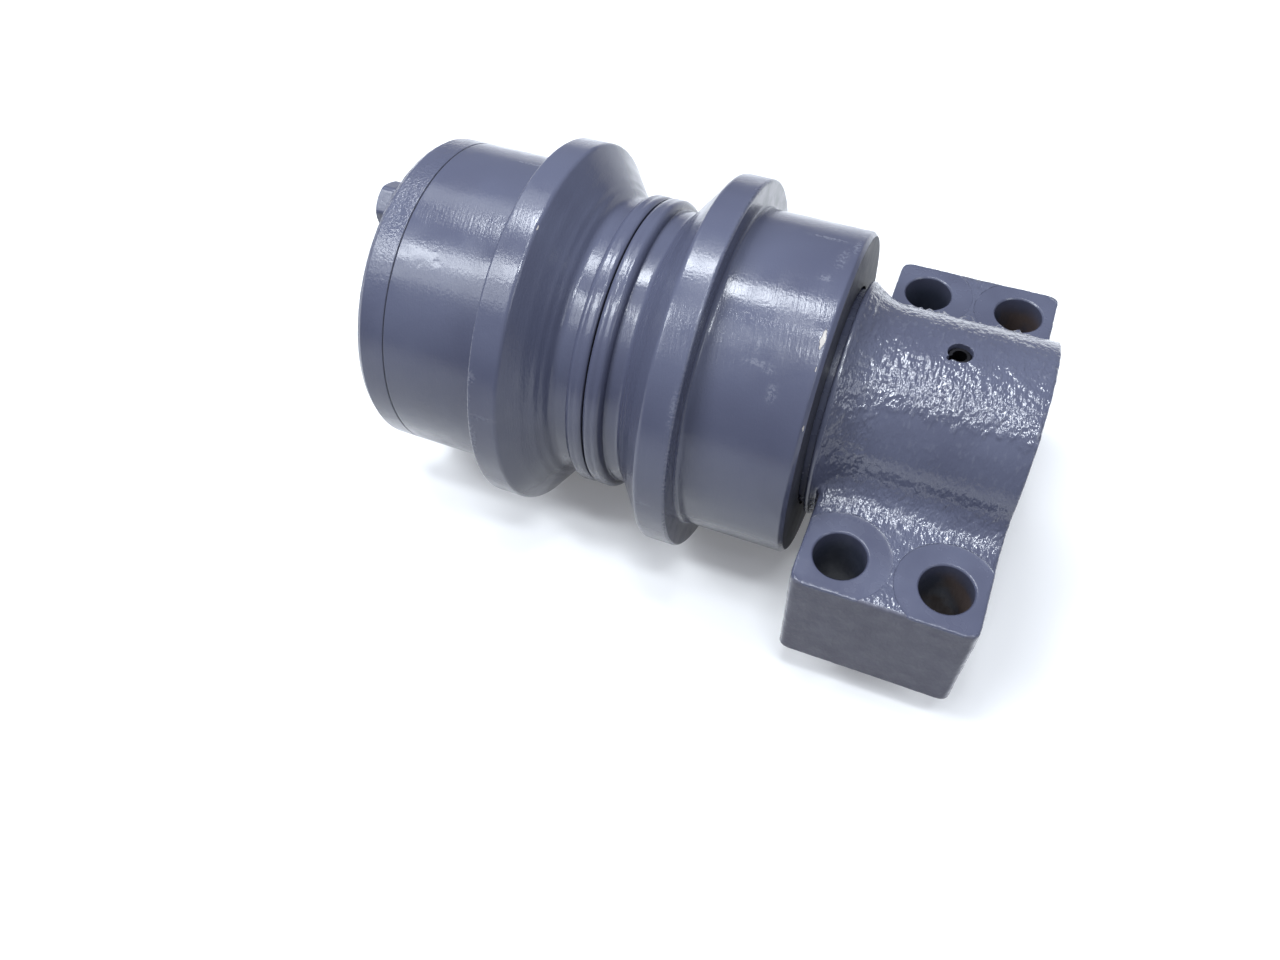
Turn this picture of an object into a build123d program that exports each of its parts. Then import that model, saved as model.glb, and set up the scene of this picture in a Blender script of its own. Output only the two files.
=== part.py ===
from build123d import *
import os
from math import cos, radians, sin, sqrt, tan

# Carrier roller on a two-footed bracket, in millimetres.
# The origin is the middle of the four-bolt pattern, on the underside of the feet.
# +X runs along the roller's axis towards the closed end of the bracket, and +Z is up.
# The roller hangs out from the bracket towards -X.

# Bracket feet and their bolts
axis_height = 69.0
foot_length = 90.0
foot_span = 231.0
foot_rise = 0.5            # cast top of the feet above the spot faces
foot_corner_round = 5.0
foot_fillet = 18.0         # between the feet and the barrel
pad_relief_depth = 3.0
pad_relief_width = 112.0
bolt_edge_along = 19.5      # from a bolt's middle to the foot's end
bolt_edge_across = 21.5     # from a bolt's middle to the foot's outer face
foot_hole_d = 26.0         # clearance for M24
foot_hole_chamfer = 0.8
spot_face_d = 49.5

# Bracket barrel and seal collar
barrel_d = 111.5
cast_edge_round = 2.4
collar_step = 5.0          # of the collar past the labyrinth lip
collar_land = 3.0
collar_slope_length = 9.0
collar_flare_radius = 26.0
collar_edge_round = 1.5
collar_gap = 3.5           # between the collar's face and the roller's end
lip_wall = 3.5             # labyrinth lip that reaches into the roller's end
lip_gap = 1.5

# Roller outside
shell_gap = 10.7           # between the feet and the roller's end
shell_length = 222.0
tread_d = 175.0
tread_edge = 1.5
seam_edge = 0.5            # on both sides of the joint with the end cover
flange_height = 14.3       # above the tread
flange_rim_width = 16.2
flange_spread = 107.4      # over the outer faces of both flanges
flange_outer_round = 1.6
flange_inner_round = 3.0
tread_root_round = 2.5
neck_drop = 11.0           # below the tread, between the flanges
neck_half_length = 17.0
neck_root_round = 10.0
curl_height = 4.8          # of the friction weld's flash curls, above the neck
curl_width = 10.0
curl_outer_round = 3.6
curl_inner_round = 1.6
curl_foot_round = 0.8
weld_groove_width = 0.7
weld_groove_depth = 4.0

# End cover
cover_thickness = 16.6
cover_edge = 2.0
cover_edge_length = 3.0
cover_bore_d = 100.0
spigot_length = 8.0
spigot_gap = 0.1
cover_pocket_d = 76.0
cover_pocket_depth = 6.0
cover_bolt_count = 3
cover_bolt_circle_d = 132.0
cover_bolt_first_angle = 97.0
cover_bolt_d = 16.0
cover_bolt_length = 45.0
cover_tap_depth = 34.0
bolt_hole_gap = 0.5        # radial, in plain holes

# Shaft
seat_d = 80.0              # in the bracket
inner_journal_d = 70.0
outer_journal_d = 60.0
shaft_recess = 2.0         # of its end inside the barrel's end
shoulder_setback = 1.0     # past the bottom of the roller's seal housing
shaft_chamfer = 1.5
journal_step_round = 2.0
gallery_d = 10.0
cross_hole_d = 8.0
tap_margin = 6.0           # drilled past the bolt's end

# Bushings
bushing_wall = 5.0
bushing_flange_wall = 6.0
bushing_flange_lap = 6.0   # of the flange past the bush's outside
inner_bushing_length = 62.0
outer_bushing_length = 52.0
chamber_wall_relief = 6.0  # of the oil space past the inner bush's outside
bushing_chamfer = 1.0
flange_stand = 1.0         # of the outer bush's flange past the roller's inner face

# Metal face seal, one half
seal_depth = 6.0           # of the sealing plane inside the roller's end
seal_ring_gap = 2.5        # radial, round the shaft
seal_ring_wall = 2.4       # at the thin end of the ramp
seal_flange_lap = 6.0      # past the thick end of the ramp
seal_flange_thickness = 4.0
seal_ring_length = 13.0
seal_ramp_angle = 8.0
toric_section = 8.4
toric_offset = 9.0         # from the sealing plane
seat_bore_length = 14.3
housing_gap = 1.2          # from the sealing plane to each housing's mouth
seal_flange_round = 0.8
seal_back_lip = 1.2

# Thrust plate and its bolts
thrust_plate_d = 88.0
thrust_plate_thickness = 10.0
thrust_plate_inset = 26.7  # from the joint with the end cover
thrust_plate_hole_d = 14.0
thrust_bolt_count = 3
thrust_bolt_circle_d = 38.0
thrust_bolt_first_angle = 90.0
thrust_bolt_d = 12.0
thrust_bolt_length = 32.0
thrust_plate_edge = 1.0

# O-rings
o_ring_section = 3.5
o_ring_groove_width = 4.6
o_ring_squeeze_gap = 0.05  # the ring stays this far off its groove and its wall
shaft_o_ring_inset = 14.0  # from the seal seat's bottom

# Lock pin
pin_d = 12.0
pin_wall = 2.5
pin_slot = 3.0
pin_recess = 2.5
pin_length = 100.0
pin_chamfer = 1.0
pin_slot_angle = 215.0     # about Z, from +X

# Oil plug
plug_thread_d = 18.0
plug_collar_d = 25.0
plug_collar_height = 4.0
plug_thread_length = 10.5
plug_socket_flats = 8.0
plug_socket_depth = 7.0
plug_pocket_d = 32.0
plug_sunk = 1.0
plug_chamfer = 0.8
gasket_thickness = 1.5

# Hexagon heads and spring washers, as a share of the thread's size
head_flats_share = 1.5
head_height_share = 0.64
washer_d_share = 1.55
washer_thickness_share = 0.22
washer_slot_share = 0.14
washer_bore_gap = 0.2
head_face_share = 0.95     # of the round face on top of a head, of its flats
head_bevel = 30.0
thread_end_chamfer = 1.5

# Fits
running_gap = 0.06         # radial, between journals and bushings
end_float = 0.3            # at each thrust face
fit_gap = 0.02             # between pieces pressed or screwed together
seal_film = 0.02           # each side of the sealing plane

# Places along the axis
shell_in_x = -foot_length / 2 - shell_gap
shell_out_x = shell_in_x - shell_length
shell_mid_x = (shell_in_x + shell_out_x) / 2
collar_x = shell_in_x + collar_gap
barrel_x = foot_length / 2
seal_x = shell_in_x - seal_depth
lip_x = seal_x + housing_gap
seat_mouth_x = seal_x - housing_gap
bracket_seat_x = lip_x + seat_bore_length
shell_seat_x = seat_mouth_x - seat_bore_length
shoulder_x = shell_seat_x - shoulder_setback
inner_flange_x = shoulder_x - end_float
inner_bushing_x = inner_flange_x - inner_bushing_length
cover_x = shell_out_x - cover_thickness
plate_x = shell_out_x + thrust_plate_inset + thrust_plate_thickness
plate_face_x = plate_x - thrust_plate_thickness
outer_flange_x = plate_x + end_float
outer_bushing_x = outer_flange_x + outer_bushing_length
shaft_step_x = (inner_bushing_x + outer_bushing_x) / 2

# Radii that several pieces share
barrel_r = barrel_d / 2
tread_r = tread_d / 2
flange_r = tread_r + flange_height
neck_r = tread_r - neck_drop
curl_r = neck_r + curl_height
seat_r = seat_d / 2
inner_journal_r = inner_journal_d / 2
outer_journal_r = outer_journal_d / 2
inner_bush_r = inner_journal_r + running_gap + bushing_wall
outer_bush_r = outer_journal_r + running_gap + bushing_wall
chamber_r = inner_bush_r + chamber_wall_relief
cover_bore_r = cover_bore_d / 2
groove_depth = o_ring_section + 2 * o_ring_squeeze_gap
shaft_o_ring_x = bracket_seat_x + shaft_o_ring_inset
plug_floor_x = cover_x + plug_sunk + plug_collar_height + gasket_thickness

# Face seal: the rubber rings sit between two slopes, one on the ring and one in the housing
ramp = tan(radians(seal_ramp_angle))
toric_half = (toric_section / 2 + o_ring_squeeze_gap) / cos(radians(seal_ramp_angle))
seal_lip = seal_ring_length - seal_back_lip
seal_bore_r = seat_r + seal_ring_gap
toric_r = seal_bore_r + seal_ring_wall + (seal_lip - toric_offset) * ramp + toric_half

# A cutter of this length, centred on the bracket's underside, runs right through it
cutter_length = 3 * (axis_height + barrel_r)
same_place = 0.01           # how near two lengths are when they are taken as one


# How a cylinder is placed when it stands on its lower end
bottom_up = (Align.CENTER, Align.CENTER, Align.MIN)


def outline(*corners):
    """A flat face through (along, out) corners; a third number rounds that corner."""
    face = make_face(Polyline([corner[:2] for corner in corners], close=True))
    for corner in corners:
        if len(corner) == 3:
            place = Vector(corner[0], corner[1])
            point = min(face.vertices(), key=lambda v: (Vector(v) - place).length)
            face = fillet(point, corner[2])
    return face


def turned(face):
    """A solid of revolution about the roller's axis, from a face of (x, radius)."""
    return Pos(0, 0, axis_height) * revolve(Plane.XZ * face, Axis.X)


def along_x(x, radius, length, y=0.0, z=0.0):
    """A cylinder that starts at x and runs towards +X, placed from the axis."""
    place = Plane(origin=(x, y, axis_height + z), z_dir=(1, 0, 0))
    return extrude(place * Circle(radius), length)


def ring_x(x, inner_r, outer_r, length, y=0.0, z=0.0):
    """A plain ring that starts at x and runs towards +X."""
    return along_x(x, outer_r, length, y, z) - along_x(x, inner_r, length, y, z)


def o_ring(x, middle_r, section):
    """A rubber ring about the roller's axis."""
    return turned(Pos(x, middle_r) * Circle(section / 2))


def circle_places(count, circle_d, first_angle=0.0):
    """The (y, z, angle) places of a bolt circle about the axis."""
    places = []
    for k in range(count):
        angle = first_angle + 360.0 * k / count
        y = circle_d / 2 * cos(radians(angle))
        z = circle_d / 2 * sin(radians(angle))
        places.append((y, z, angle))
    return places


def facing_x(side, x, y, z, angle):
    """A plane square to the axis at a bolt's place, with its own X turned by angle."""
    turn = radians(angle)
    return Plane(origin=(x, y, axis_height + z), x_dir=(0, cos(turn), sin(turn)), z_dir=(side, 0, 0))


def hex_bolt(x, y, z, angle, thread_d, length):
    """A hexagon bolt whose head bears at x and whose shank runs towards +X."""
    flats = head_flats_share * thread_d
    height = head_height_share * thread_d
    corner_r = flats / sqrt(3)
    face_r = head_face_share * flats / 2
    place = facing_x(-1, x, y, z, angle)
    head = extrude(place * RegularPolygon(corner_r, 6), height)
    reach = corner_r + height
    cap = outline(
        (0, 0),
        (reach, 0),
        (reach, height - (reach - face_r) * tan(radians(head_bevel))),
        (face_r, height),
        (0, height),
    )
    head = head & (place * revolve(Plane.XZ * cap, Axis.Z))
    shank_r = thread_d / 2 - fit_gap
    shank = along_x(x, shank_r, length, y, z)
    end = shank.faces().sort_by(Axis.X)[-1]
    return head + chamfer(end.edges(), thread_end_chamfer)


def spring_washer(x, y, z, angle, thread_d):
    """A split ring whose outer face lies at x and which runs towards +X."""
    outer_r = washer_d_share * thread_d / 2
    thickness = washer_thickness_share * thread_d
    ring = ring_x(x, thread_d / 2 + washer_bore_gap, outer_r, thickness, y, z)
    slot = Pos(outer_r, 0) * Rectangle(2 * outer_r, washer_slot_share * thread_d)
    return ring - extrude(facing_x(1, x, y, z, angle) * slot, thickness)


def foot_bolt_places():
    along = foot_length / 2 - bolt_edge_along
    across = foot_span / 2 - bolt_edge_across
    places = []
    for side_x in (-1, 1):
        for side_y in (-1, 1):
            places.append((side_x * along, side_y * across))
    return places


def seat_radius(distance):
    """Radius of a seal housing's bore, at a distance from the sealing plane."""
    return toric_r + toric_half + (toric_offset - distance) * ramp


def ramp_radius(distance):
    """Radius of a seal ring's ramp, at a distance from the sealing plane."""
    return toric_r - toric_half + (toric_offset - distance) * ramp


def seal_seat_corners(side):
    """Mouth and bottom of a housing's seat: +1 in the bracket, -1 in the roller."""
    bottom = housing_gap + seat_bore_length
    return (
        (seal_x + side * housing_gap, seat_radius(housing_gap)),
        (seal_x + side * bottom, seat_radius(bottom)),
    )


def seal_ring(side):
    """A metal face seal ring on one side of the sealing plane."""
    ramp_start_r = ramp_radius(seal_flange_thickness)
    ramp_end_r = ramp_radius(seal_lip)
    disc_r = ramp_start_r + seal_flange_lap
    corners = [
        (seal_film, seal_bore_r),
        (seal_film, disc_r, seal_flange_round),
        (seal_flange_thickness, disc_r, seal_flange_round),
        (seal_flange_thickness, ramp_start_r, seal_flange_round),
        (seal_lip, ramp_end_r),
        (seal_lip, ramp_end_r + seal_back_lip / 2),
        (seal_ring_length, ramp_end_r),
        (seal_ring_length, seal_bore_r),
    ]
    placed = []
    for corner in corners:
        placed.append((seal_x + side * corner[0],) + corner[1:])
    return turned(outline(*placed))


def seal_toric(side):
    return o_ring(seal_x + side * toric_offset, toric_r, toric_section)


# The labyrinth lip stands round the bracket's seal housing, and the collar round the lip
lip_r = seat_radius(housing_gap) + lip_wall
collar_r = lip_r + collar_step


def bracket_section():
    """The bracket across the axis: barrel and feet, in (y, z) from the underside."""
    top = axis_height + foot_rise
    slab = Pos(0, top / 2) * Rectangle(foot_span, top)
    barrel = Pos(0, axis_height) * Circle(barrel_r)
    section = (slab + barrel) - Rectangle(pad_relief_width, 2 * pad_relief_depth)
    junctions = []
    for vertex in section.vertices():
        if abs(vertex.X) < foot_span / 2 - same_place and abs(vertex.Y - top) < same_place:
            junctions.append(vertex)
    return fillet(junctions, foot_fillet)


def cast_edges(body):
    """The edges round the bracket's top and ends that the casting leaves soft."""
    top = axis_height + foot_rise
    found = []
    for edge in body.edges():
        middle = edge.center()
        upright = edge.geom_type == GeomType.LINE and middle.Z < top - same_place
        at_end = abs(abs(middle.X) - foot_length / 2) < same_place
        along_side = abs(middle.Y) > foot_span / 2 - foot_corner_round
        if at_end and middle.Z > pad_relief_depth + same_place and not upright:
            found.append(edge)
        elif abs(middle.Z - top) < same_place and along_side:
            found.append(edge)
    return found


def make_bracket():
    across = Plane(origin=(-foot_length / 2, 0, 0), x_dir=(0, 1, 0), z_dir=(1, 0, 0))
    body = extrude(across * bracket_section(), foot_length)
    uprights = []
    for edge in body.edges().filter_by(Axis.Z):
        if abs(abs(edge.center().Y) - foot_span / 2) < same_place:
            uprights.append(edge)
    body = fillet(uprights, foot_corner_round)
    body = fillet(cast_edges(body), cast_edge_round)
    slope_x = collar_x + collar_land + collar_slope_length
    collar = outline(
        (lip_x, 0),
        (lip_x, lip_r),
        (collar_x, lip_r),
        (collar_x, collar_r, collar_edge_round),
        (collar_x + collar_land, collar_r, collar_edge_round),
        (slope_x, barrel_r, collar_flare_radius),
        (0, barrel_r),
        (0, 0),
    )
    seat_mouth, seat_bottom = seal_seat_corners(1)
    bore = outline(
        (lip_x, 0),
        seat_mouth,
        seat_bottom,
        (seat_bottom[0], seat_r),
        (barrel_x - shaft_chamfer, seat_r),
        (barrel_x, seat_r + shaft_chamfer),
        (barrel_x, 0),
    )
    body = body + turned(collar) - turned(bore)
    for x, y in foot_bolt_places():
        hole_r = foot_hole_d / 2
        mouth_z = axis_height - foot_hole_chamfer
        spot_face = Pos(x, y, axis_height) * Cylinder(spot_face_d / 2, barrel_r, align=bottom_up)
        mouth = Pos(x, y, mouth_z) * Cone(
            hole_r, hole_r + foot_hole_chamfer, foot_hole_chamfer, align=bottom_up
        )
        body = body - Pos(x, y, 0) * Cylinder(hole_r, cutter_length) - spot_face - mouth
    return body - Cylinder(pin_d / 2, cutter_length)


def shell_outside(side, end_edge):
    """The outside of one forged half, from the weld to its end: +1 inboard, -1 outboard."""
    rim_out = flange_spread / 2
    rim_in = rim_out - flange_rim_width
    half = shell_length / 2
    corners = [
        (0, curl_r - weld_groove_depth),
        (weld_groove_width / 2, curl_r - weld_groove_depth),
        (weld_groove_width / 2, curl_r, curl_inner_round),
        (curl_width, curl_r, curl_outer_round),
        (curl_width, neck_r, curl_foot_round),
        (neck_half_length, neck_r, neck_root_round),
        (rim_in, flange_r, flange_inner_round),
        (rim_out, flange_r, flange_outer_round),
        (rim_out, tread_r, tread_root_round),
        (half - end_edge, tread_r),
        (half, tread_r - end_edge),
    ]
    return [(shell_mid_x + side * corner[0],) + corner[1:] for corner in corners]


def make_inboard_shell_half():
    mouth, bottom = seal_seat_corners(-1)
    recess_r = lip_r + lip_gap
    bore_r = inner_bush_r + fit_gap
    pocket_r = bore_r + bushing_flange_lap
    pocket_x = inner_flange_x - bushing_flange_wall
    inside = [
        (shell_in_x, recess_r),
        (mouth[0], recess_r),
        mouth,
        bottom,
        (bottom[0], pocket_r),
        (pocket_x, pocket_r),
        (pocket_x, bore_r),
        (inner_bushing_x, bore_r),
        (inner_bushing_x, chamber_r),
        (shell_mid_x, chamber_r),
    ]
    return turned(outline(*shell_outside(1, tread_edge), *inside))


def make_outboard_shell_half():
    bore_r = outer_bush_r + fit_gap
    pocket_r = bore_r + bushing_flange_lap
    pocket_x = outer_flange_x + bushing_flange_wall
    inside = [
        (shell_out_x, cover_bore_r),
        (outer_flange_x + flange_stand, cover_bore_r),
        (outer_flange_x + flange_stand, pocket_r),
        (pocket_x, pocket_r),
        (pocket_x, bore_r),
        (outer_bushing_x, bore_r),
        (outer_bushing_x, chamber_r),
        (shell_mid_x, chamber_r),
    ]
    half = turned(outline(*shell_outside(-1, seam_edge), *inside))
    for y, z, angle in cover_bolt_places():
        half = half - along_x(shell_out_x, cover_bolt_d / 2, cover_tap_depth, y, z)
    return half


def cover_bolt_places():
    return circle_places(cover_bolt_count, cover_bolt_circle_d, cover_bolt_first_angle)


def thrust_bolt_places():
    return circle_places(thrust_bolt_count, thrust_bolt_circle_d, thrust_bolt_first_angle)


def make_end_cover():
    spigot_r = cover_bore_r - spigot_gap
    groove_r = cover_bore_r - groove_depth - spigot_gap
    groove_start = shell_out_x + (spigot_length - o_ring_groove_width) / 2
    spigot_x = shell_out_x + spigot_length
    web_x = spigot_x - cover_pocket_depth
    thread_r = plug_thread_d / 2
    cover = turned(outline(
        (plug_floor_x, thread_r),
        (plug_floor_x, plug_pocket_d / 2),
        (cover_x, plug_pocket_d / 2),
        (cover_x, tread_r - cover_edge),
        (cover_x + cover_edge_length, tread_r),
        (shell_out_x - seam_edge, tread_r),
        (shell_out_x, tread_r - seam_edge),
        (shell_out_x, spigot_r),
        (groove_start, spigot_r),
        (groove_start, groove_r),
        (groove_start + o_ring_groove_width, groove_r),
        (groove_start + o_ring_groove_width, spigot_r),
        (spigot_x, spigot_r),
        (spigot_x, cover_pocket_d / 2),
        (web_x, cover_pocket_d / 2),
        (web_x, thread_r),
    ))
    hole_r = cover_bolt_d / 2 + bolt_hole_gap
    for y, z, angle in cover_bolt_places():
        cover = cover - along_x(cover_x, hole_r, cover_thickness, y, z)
    return cover


def make_cover_oring():
    middle_r = cover_bore_r - spigot_gap / 2 - o_ring_squeeze_gap - o_ring_section / 2
    return o_ring(shell_out_x + spigot_length / 2, middle_r, o_ring_section)


def make_shaft():
    radius = seat_r - fit_gap
    shaft = turned(outline(
        (barrel_x - shaft_recess, 0),
        (barrel_x - shaft_recess, radius - shaft_chamfer),
        (barrel_x - shaft_recess - shaft_chamfer, radius),
        (shoulder_x, radius),
        (shoulder_x, inner_journal_r),
        (shaft_step_x, inner_journal_r, journal_step_round),
        (shaft_step_x, outer_journal_r, journal_step_round),
        (plate_x + shaft_chamfer, outer_journal_r),
        (plate_x, outer_journal_r - shaft_chamfer),
        (plate_x, 0),
    ))
    groove_x = shaft_o_ring_x - o_ring_groove_width / 2
    shaft = shaft - ring_x(groove_x, seat_r - groove_depth, seat_r, o_ring_groove_width)
    inner_middle = (inner_flange_x + inner_bushing_x) / 2
    outer_middle = (outer_flange_x + outer_bushing_x) / 2
    shaft = shaft - along_x(plate_x, gallery_d / 2, inner_middle - plate_x + cross_hole_d / 2)
    for x in (inner_middle, shell_mid_x, outer_middle):
        shaft = shaft - Pos(x, 0, axis_height) * Cylinder(cross_hole_d / 2, seat_d, align=bottom_up)
    tap_depth = thrust_bolt_length - thrust_plate_thickness + tap_margin
    for y, z, angle in thrust_bolt_places():
        shaft = shaft - along_x(plate_x, thrust_bolt_d / 2, tap_depth, y, z)
    return shaft - Cylinder(pin_d / 2, cutter_length)


def make_shaft_oring():
    middle_r = seat_r - o_ring_squeeze_gap - o_ring_section / 2
    return o_ring(shaft_o_ring_x, middle_r, o_ring_section)


def make_lock_pin():
    top = axis_height + barrel_r - pin_recess
    radius = pin_d / 2 - fit_gap
    place = Pos(0, 0, top - pin_length)
    pin = place * Cylinder(radius, pin_length, align=bottom_up)
    ends = pin.faces().sort_by(Axis.Z)
    pin = chamfer(ends[0].edges() + ends[-1].edges(), pin_chamfer)
    pin = pin - place * Cylinder(radius - pin_wall, pin_length, align=bottom_up)
    slot = Pos(pin_d / 2, 0, 0) * Box(pin_d, pin_slot, pin_length, align=bottom_up)
    return pin - place * Rot(0, 0, pin_slot_angle) * slot


def make_thrust_plate():
    plate = along_x(plate_face_x, thrust_plate_d / 2, thrust_plate_thickness)
    plate = chamfer(plate.faces().sort_by(Axis.X)[0].edges(), thrust_plate_edge)
    plate = plate - along_x(plate_face_x, thrust_plate_hole_d / 2, thrust_plate_thickness)
    hole_r = thrust_bolt_d / 2 + bolt_hole_gap
    for y, z, angle in thrust_bolt_places():
        plate = plate - along_x(plate_face_x, hole_r, thrust_plate_thickness, y, z)
    return plate


def bolt_sets(x, places, thread_d, length):
    """Bolts with their spring washers, drawn up against a face at x."""
    washer_x = x - washer_thickness_share * thread_d
    bolts = []
    washers = []
    for y, z, angle in places:
        bolts.append(hex_bolt(washer_x, y, z, angle, thread_d, length))
        washers.append(spring_washer(washer_x, y, z, angle, thread_d))
    return Compound(bolts), Compound(washers)


def flanged_bushing(flange_x, end_x, journal_r, outer_r):
    """A flanged bush whose thrust face lies at flange_x."""
    side = 1 if flange_x > end_x else -1
    bore_r = journal_r + running_gap
    rim_r = outer_r + bushing_flange_lap - fit_gap
    back_x = flange_x - side * bushing_flange_wall
    return turned(outline(
        (flange_x, bore_r),
        (flange_x, rim_r - bushing_chamfer),
        (flange_x - side * bushing_chamfer, rim_r),
        (back_x, rim_r),
        (back_x, outer_r),
        (end_x + side * bushing_chamfer, outer_r),
        (end_x, outer_r - bushing_chamfer),
        (end_x, bore_r),
    ))


def make_oil_plug():
    seat_x = plug_floor_x - gasket_thickness
    head_x = seat_x - plug_collar_height
    plug = turned(outline(
        (head_x, 0),
        (head_x, plug_collar_d / 2 - plug_chamfer),
        (head_x + plug_chamfer, plug_collar_d / 2),
        (seat_x, plug_collar_d / 2),
        (seat_x, plug_thread_d / 2 - fit_gap),
        (plug_floor_x + plug_thread_length - plug_chamfer, plug_thread_d / 2 - fit_gap),
        (plug_floor_x + plug_thread_length, plug_thread_d / 2 - plug_chamfer),
        (plug_floor_x + plug_thread_length, 0),
    ))
    place = Plane(origin=(head_x, 0, axis_height), z_dir=(1, 0, 0))
    socket = RegularPolygon(plug_socket_flats / 2, 6, major_radius=False)
    return plug - extrude(place * socket, plug_socket_depth)


parts = {
    "bracket": make_bracket(),
    "shaft": make_shaft(),
    "shaft_oring": make_shaft_oring(),
    "lock_pin": make_lock_pin(),
    "fixed_seal_ring": seal_ring(1),
    "fixed_seal_toric": seal_toric(1),
    "rotating_seal_ring": seal_ring(-1),
    "rotating_seal_toric": seal_toric(-1),
    "thrust_plate": make_thrust_plate(),
    "inboard_shell_half": make_inboard_shell_half(),
    "outboard_shell_half": make_outboard_shell_half(),
    "inboard_bushing": flanged_bushing(inner_flange_x, inner_bushing_x, inner_journal_r, inner_bush_r),
    "outboard_bushing": flanged_bushing(outer_flange_x, outer_bushing_x, outer_journal_r, outer_bush_r),
    "end_cover": make_end_cover(),
    "cover_oring": make_cover_oring(),
    "oil_plug": make_oil_plug(),
    "oil_plug_gasket": ring_x(
        plug_floor_x - gasket_thickness, plug_thread_d / 2 + fit_gap, plug_collar_d / 2, gasket_thickness
    ),
}
parts["thrust_plate_bolts"], parts["thrust_plate_washers"] = bolt_sets(
    plate_face_x, thrust_bolt_places(), thrust_bolt_d, thrust_bolt_length
)
parts["cover_bolts"], parts["cover_washers"] = bolt_sets(
    cover_x, cover_bolt_places(), cover_bolt_d, cover_bolt_length
)

os.makedirs("parts", exist_ok=True)
for name, part in parts.items():
    export_step(part, f"parts/{name}.step")
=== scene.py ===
import math

import bmesh
import bpy
import numpy as np
from mathutils import Matrix, Vector, noise


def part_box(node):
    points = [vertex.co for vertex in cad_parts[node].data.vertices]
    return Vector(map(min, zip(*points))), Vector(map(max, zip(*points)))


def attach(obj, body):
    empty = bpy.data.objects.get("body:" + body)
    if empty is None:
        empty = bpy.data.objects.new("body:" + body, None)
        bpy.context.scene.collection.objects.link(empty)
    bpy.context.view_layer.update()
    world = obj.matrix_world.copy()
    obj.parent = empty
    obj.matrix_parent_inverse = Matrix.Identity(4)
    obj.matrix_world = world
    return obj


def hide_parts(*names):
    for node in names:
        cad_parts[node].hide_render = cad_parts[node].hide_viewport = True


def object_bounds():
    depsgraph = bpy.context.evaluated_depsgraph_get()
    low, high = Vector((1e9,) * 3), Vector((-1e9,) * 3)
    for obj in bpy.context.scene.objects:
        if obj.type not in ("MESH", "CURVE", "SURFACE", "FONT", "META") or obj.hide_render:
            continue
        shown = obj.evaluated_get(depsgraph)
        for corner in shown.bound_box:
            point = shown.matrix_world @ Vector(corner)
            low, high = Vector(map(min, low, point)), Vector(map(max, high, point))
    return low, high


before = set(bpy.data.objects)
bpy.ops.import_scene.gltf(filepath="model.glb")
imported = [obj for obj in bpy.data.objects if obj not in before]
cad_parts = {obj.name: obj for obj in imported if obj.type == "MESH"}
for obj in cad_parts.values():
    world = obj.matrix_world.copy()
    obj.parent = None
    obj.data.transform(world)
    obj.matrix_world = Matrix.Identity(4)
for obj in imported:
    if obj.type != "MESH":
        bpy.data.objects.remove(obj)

# The imported model's box; its lowest point sets the floor's height
cad_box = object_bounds()

# Sizes read from the frame, in metres
mm = 0.001
bracket_low, bracket_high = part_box("bracket")
inboard_low, inboard_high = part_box("inboard_shell_half")
cover_low, cover_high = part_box("end_cover")
axis_z = (inboard_low.z + inboard_high.z) / 2
shell_in_x = inboard_high.x
shell_mid_x = inboard_low.x
shell_out_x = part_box("outboard_shell_half")[0].x
gasket_face_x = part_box("oil_plug_gasket")[1].x
cover_x = cover_low.x
flange_r = (inboard_high.z - inboard_low.z) / 2
tread_r = (cover_high.z - cover_low.z) / 2
foot_end_x = bracket_high.x
foot_side_y = bracket_high.y
collar_r = bracket_high.z - axis_z
lip_x = bracket_low.x

# Roller outside
tread_edge = 2.2 * mm
seam_edge = 0.5 * mm
rim_width = 16.2 * mm
rim_out = 53.7 * mm  # from the weld to the flange's tread side
neck_drop = 11.0 * mm
neck_half_length = 18.5 * mm
neck_fillet = 4.5 * mm
curl_height = 4.8 * mm
curl_width = 10.0 * mm
weld_groove_width = 0.7 * mm
weld_groove_depth = 4.0 * mm
neck_r = tread_r - neck_drop
curl_r = neck_r + curl_height

# Roller inside
recess_r = 59.97 * mm
seal_mouth_x = shell_in_x - 7.2 * mm
seal_seat_x = shell_in_x - 21.5 * mm
seal_mouth_r = 54.97 * mm
seal_seat_r = 52.96 * mm
inner_bore_r = 40.08 * mm
inner_pocket_r = 46.08 * mm
inner_pocket_x = shell_in_x - 28.8 * mm
inner_bush_x = shell_in_x - 84.8 * mm
chamber_r = 46.06 * mm
outer_bore_r = 35.08 * mm
outer_pocket_r = 41.08 * mm
outer_pocket_x = shell_out_x + 43.0 * mm
outer_bush_x = shell_out_x + 89.0 * mm
cover_bore_r = 50.0 * mm
cover_bore_x = shell_out_x + 38.0 * mm

# End cover and its bolts
cover_edge = 2.0 * mm
cover_edge_length = 3.0 * mm
spigot_length = 8.0 * mm
spigot_r = 49.9 * mm
ring_groove_r = 46.3 * mm
ring_groove_width = 4.6 * mm
cover_pocket_r = 38.0 * mm
cover_web_x = shell_out_x + 2.0 * mm
plug_pocket_r = 16.0 * mm
plug_hole_r = 9.0 * mm
bolt_circle_r = 66.0 * mm
bolt_first_angle = 7.0  # degrees, from straight up towards the near side
bolt_count = 3
bolt_d = 16.0 * mm
bolt_flats = 24.0 * mm
bolt_head_height = 10.24 * mm
bolt_seat_x = cover_x - 3.52 * mm
bolt_length = 45.0 * mm
bolt_hole_r = 8.5 * mm
tap_depth = 34.0 * mm
rough_rim_angle = 8.0  # degrees, where the cover's rim is roughest
rough_rim_spread = 26.0

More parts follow.
